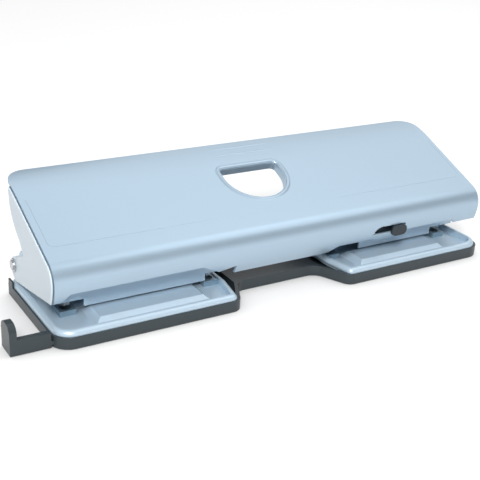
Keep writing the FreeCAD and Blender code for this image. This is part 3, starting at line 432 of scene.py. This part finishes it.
def grip_rib(name, along, low_x, high_x):
    """Low rib across the back of the top that fades out at both ends."""
    above = Vector((0, along, ABOVE_LEVER)) * MM
    _, place, normal, _ = NODES["lever_shell"].ray_cast(above, Vector((0, 0, -1)))
    tangent = Vector((0, normal.z, -normal.y))
    base = place / MM - normal * RIB_SUNK
    stations = [(low_x + inset, scale) for inset, scale in RIB_TAPER]
    stations += [(high_x - inset, scale) for inset, scale in reversed(RIB_TAPER)]
    rings = []
    for x, scale in stations:
        ring = []
        for step in range(RIB_STEPS + 1):
            turn = math.pi * step / RIB_STEPS
            point = (base + tangent * (RIB_HALF_WIDTH * math.cos(turn) * scale)
                     + normal * (RIB_HEIGHT * math.sin(turn) * scale))
            ring.append((x, point.y, point.z))
        rings.append(ring)
    swept(name, rings, False, LEVER_PAINT, "lever")


# which way each crease's fill lies from the middle
CREASES = {"left_crease_fill": -1, "right_crease_fill": 1}
CREASE_START = 39.0
CREASE_FRONT = -25.1
CREASE_END = 129.6
CREASE_BACK = 8.7
CREASE_CORNER = 3.6
CREASE_CORNER_STEPS = 8
# offset from the crease's middle, and height over the top
CREASE_PROFILE = ((-0.95, -0.5), (-0.95, -0.02), (-0.6, -0.05), (-0.3, -0.12), (0, -0.15),
                  (0.3, -0.12), (0.6, -0.05), (0.95, -0.02), (0.95, -0.5))


def crease_fill(name, side):
    """Soft floor in the crease, so that it reads as a shallow dip."""
    path = [((CREASE_START, CREASE_FRONT), (0, 1)),
            ((CREASE_END - CREASE_CORNER, CREASE_FRONT), (0, 1))]
    for step in range(1, CREASE_CORNER_STEPS + 1):
        turn = math.radians(-90 + 90 * step / CREASE_CORNER_STEPS)
        out = (math.cos(turn), math.sin(turn))
        path.append(((CREASE_END - CREASE_CORNER + CREASE_CORNER * out[0],
                      CREASE_FRONT + CREASE_CORNER + CREASE_CORNER * out[1]), (-out[0], -out[1])))
    path.append(((CREASE_END, CREASE_BACK), (-1, 0)))
    rings = [[on_top(side * (place[0] + inward[0] * offset), place[1] + inward[1] * offset, height)
              for offset, height in CREASE_PROFILE] for place, inward in path]
    swept(name, rings, False, LEVER_PAINT, "lever")


PIN_PLACES = (-120.0, -40.0, 40.0, 120.0)
COIL_Y = -16.5
COIL_RADIUS = 4.1
COIL_WIRE = 0.5
COIL_WIRE_SIDES = 8
COIL_TURNS = 5
COIL_TURN_STEPS = 24
COIL_LOW = 22.67
COIL_HIGH = 32.38


def pin_coil(number, x):
    """Coil spring that stands on the frame, in place of the pin's own spring, which is hidden."""
    climb = (COIL_HIGH - COIL_LOW) / (COIL_TURNS * 2 * math.pi)
    rings = []
    for step in range(COIL_TURNS * COIL_TURN_STEPS + 1):
        turn = 2 * math.pi * step / COIL_TURN_STEPS
        out = Vector((math.cos(turn), math.sin(turn), 0))
        along = Vector((-COIL_RADIUS * out.y, COIL_RADIUS * out.x, climb)).normalized()
        up = out.cross(along)
        middle = Vector((x, COIL_Y, COIL_LOW + climb * turn)) + out * COIL_RADIUS
        rings.append([middle + out * (COIL_WIRE * math.cos(corner))
                      + up * (COIL_WIRE * math.sin(corner)) for corner in turns(COIL_WIRE_SIDES)])
    coil = swept(f"pin_coil_{number}", rings, False, SPRING_STEEL, "chassis")
    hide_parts(f"pin_spring_{number}")
    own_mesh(coil)


# the cap that each seam follows, and which side it is on
SEAMS = {"left_cap_seam": ("left_end_cap", -1), "right_cap_seam": ("right_end_cap", 1)}
SEAM_X = 133.0
SEAM_REACH = 0.0009  # in metres: edges of the cap this near the pressing make the seam
SEAM_RADIUS = 0.32
SEAM_STEPS = 8


def seam_path(cap, x):
    """Points in mm where a cap's outline meets the pressing's end, in order."""
    shell = NODES["lever_shell"]
    form = bmesh.new()
    form.from_mesh(NODES[cap].data)
    bmesh.ops.remove_doubles(form, verts=form.verts, dist=JOIN_REACH)
    everything = form.verts[:] + form.edges[:] + form.faces[:]
    cut = bmesh.ops.bisect_plane(form, geom=everything, plane_co=(x * MM, 0, 0),
                                 plane_no=(1, 0, 0), clear_inner=x > 0, clear_outer=x < 0)
    neighbours = {}
    for edge in cut["geom_cut"]:
        if isinstance(edge, bmesh.types.BMEdge):
            ends = [tuple(vert.co) for vert in edge.verts]
            if all((shell.closest_point_on_mesh(end)[1] - Vector(end)).length < SEAM_REACH
                   for end in ends):
                neighbours.setdefault(ends[0], []).append(ends[1])
                neighbours.setdefault(ends[1], []).append(ends[0])
    form.free()
    path = [min(place for place, others in neighbours.items() if len(others) == 1)]
    while True:
        onward = [place for place in neighbours[path[-1]] if place not in path]
        if not onward:
            return [Vector(place) / MM for place in path]
        path.append(onward[0])


def cap_seam(name, cap, side):
    """Dark bead along the joint between a moulded cap and the pressing's end: painted shade for
    the gap there.
    """
    path = seam_path(cap, side * SEAM_X)
    rings = []
    for index, place in enumerate(path):
        along = path[min(index + 1, len(path) - 1)] - path[max(index - 1, 0)]
        across = Vector((0, -along.z, along.y)).normalized()
        rings.append([place + across * (SEAM_RADIUS * math.cos(turn))
                      + Vector((SEAM_RADIUS * math.sin(turn), 0, 0))
                      for turn in turns(SEAM_STEPS)])
    swept(name, rings, False, SEAM_SHADE_FINISH, "lever")


def formed_details():
    """Make every piece that the scene adds to the solids."""
    for name, ends in HEMS.items():
        hem(name, ends)
    finger_lip()
    for name, place in RIBS.items():
        grip_rib(name, *place)
    for name, side in CREASES.items():
        crease_fill(name, side)
    for name, place in SEAMS.items():
        cap_seam(name, *place)
    for number, x in enumerate(PIN_PLACES, 1):
        pin_coil(number, x)


# ---------------------------------------------------------------- stage, lamps, camera
FLOOR_HALF = 3.0
FLOOR_GREY = (0.50, 0.50, 0.50, 1)
FLOOR_ROUGHNESS = 0.9
WHITE = (1, 1, 1, 1)
FLOOR_GLOW = 0.60
# painted contact shadow: reach and samples of the occlusion that dims the floor's glow
PAINTED_SHADOW_REACH = 0.03  # how far from the punch the glow is dimmed, in metres
PAINTED_SHADOW_SAMPLES = 16


def stage():
    """Floor that the camera and reflections see as white, and that keeps the punch's shadow;
    occlusion dims its glow near the punch as a painted contact shadow.
    """
    mesh = bpy.data.meshes.new("floor")
    corners = [(x * FLOOR_HALF, y * FLOOR_HALF, 0)
               for x, y in ((-1, -1), (1, -1), (1, 1), (-1, 1))]
    mesh.from_pydata(corners, [], [(0, 1, 2, 3)])
    floor = bpy.data.objects.new("floor", mesh)
    bpy.context.scene.collection.objects.link(floor)
    material = bpy.data.materials.new("floor")
    material.use_nodes = True
    tree = material.node_tree
    shader = tree.nodes["Principled BSDF"]
    shader.inputs["Base Color"].default_value = FLOOR_GREY
    shader.inputs["Roughness"].default_value = FLOOR_ROUGHNESS
    shader.inputs["Specular IOR Level"].default_value = 0.0
    ray = add_node(tree, "ShaderNodeLightPath")
    mirrored = add_node(tree, "ShaderNodeMath", operation="MAXIMUM")
    shown = add_node(tree, "ShaderNodeMath", operation="MAXIMUM")
    level = add_node(tree, "ShaderNodeMath", {1: FLOOR_GLOW}, operation="MULTIPLY")
    # painted contact shadow: occlusion dims the floor's glow near the punch, on top of the lamps'
    # shadows
    openness = add_node(tree, "ShaderNodeAmbientOcclusion", {"Distance": PAINTED_SHADOW_REACH},
                        samples=PAINTED_SHADOW_SAMPLES)
    painted_contact_shadow = add_node(tree, "ShaderNodeMath", operation="MULTIPLY")
    glow = add_node(tree, "ShaderNodeEmission", {"Color": WHITE})
    total = add_node(tree, "ShaderNodeAddShader")
    join = tree.links.new
    join(ray.outputs["Is Glossy Ray"], mirrored.inputs[0])
    join(ray.outputs["Is Transmission Ray"], mirrored.inputs[1])
    join(ray.outputs["Is Camera Ray"], shown.inputs[0])
    join(mirrored.outputs[0], shown.inputs[1])
    join(shown.outputs[0], level.inputs[0])
    join(level.outputs[0], painted_contact_shadow.inputs[0])
    join(openness.outputs["AO"], painted_contact_shadow.inputs[1])
    join(painted_contact_shadow.outputs[0], glow.inputs["Strength"])
    join(shader.outputs[0], total.inputs[0])
    join(glow.outputs[0], total.inputs[1])
    join(total.outputs[0], tree.nodes["Material Output"].inputs["Surface"])
    mesh.materials.append(material)


# how bright the room is at each height, from the horizon at 0 to straight up at 1
ROOM = ((0.0, 0.85), (0.12, 0.75), (0.3, 0.12), (0.6, 0.12), (0.8, 0.4), (1.0, 0.6))
ROOM_RED = 0.97
ROOM_GREEN = 0.985


def world():
    """Plain studio room: pale at floor level, dim higher up, brighter overhead."""
    room = bpy.data.worlds.new("studio")
    bpy.context.scene.world = room
    room.use_nodes = True
    tree = room.node_tree
    tree.nodes.clear()
    output = add_node(tree, "ShaderNodeOutputWorld")
    direction = add_node(tree, "ShaderNodeTexCoord")
    split = add_node(tree, "ShaderNodeSeparateXYZ")
    ramp = add_node(tree, "ShaderNodeValToRGB")
    points = ramp.color_ramp.elements
    points[1].position = ROOM[-1][0]
    for position, _ in ROOM[1:-1]:
        points.new(position)
    for point, (_, level) in zip(points, ROOM):
        point.color = (level * ROOM_RED, level * ROOM_GREEN, level, 1)
    light = add_node(tree, "ShaderNodeBackground")
    tree.links.new(direction.outputs["Generated"], split.inputs[0])
    tree.links.new(split.outputs["Z"], ramp.inputs["Fac"])
    tree.links.new(ramp.outputs["Color"], light.inputs["Color"])
    tree.links.new(light.outputs[0], output.inputs["Surface"])


# name, place, point it faces, side in metres, power in watts
LAMPS = (
    ("key", (-0.66, -0.99, 0.93), (0, 0, 0.03), 0.4, 19.5),
    ("brow", (0.60, -0.30, 1.02), (0, 0, 0.04), 0.7, 1.9),
    ("overhead", (0.75, 0.62, 1.05), (0, 0, 0.03), 1.4, 5.2),
)


def area_lamp(name, place, target, size, power):
    """Square soft lamp that faces a point."""
    data = bpy.data.lights.new(name, "AREA")
    data.shape = "SQUARE"
    data.size = size
    data.energy = power
    lamp = bpy.data.objects.new(name, data)
    lamp.location = place
    lamp.rotation_euler = (Vector(target) - Vector(place)).to_track_quat("-Z", "Y").to_euler()
    bpy.context.scene.collection.objects.link(lamp)


def lamps():
    """A soft key from the front left, a softbox high on the right and a broad one behind it."""
    for lamp in LAMPS:
        area_lamp(*lamp)


# the camera, fitted to points of the photograph
CAMERA_PLACE = (-0.26740, -0.40975, 0.22337)
CAMERA_RIGHT = (0.8563, -0.5143, 0.0479)
CAMERA_UP = (0.1633, 0.3576, 0.9195)
CAMERA_FORWARD = (0.4900, 0.7795, -0.3902)
FOCAL_PIXELS = 938.42
FRAME_PIXELS = 480
SENSOR = 36.0
CLIP_START = 0.01


def camera():
    """The photograph's view."""
    data = bpy.data.cameras.new("camera")
    data.sensor_width = SENSOR
    data.lens = FOCAL_PIXELS / FRAME_PIXELS * SENSOR
    data.clip_start = CLIP_START
    view = bpy.data.objects.new("camera", data)
    back = -Vector(CAMERA_FORWARD)
    turn = Matrix((CAMERA_RIGHT, CAMERA_UP, back)).transposed().to_4x4()
    view.matrix_world = Matrix.Translation(CAMERA_PLACE) @ turn
    bpy.context.scene.collection.objects.link(view)
    bpy.context.scene.camera = view


camera()
dress_nodes()
formed_details()
world()
lamps()
stage()
bpy.context.scene.view_settings.view_transform = "Standard"
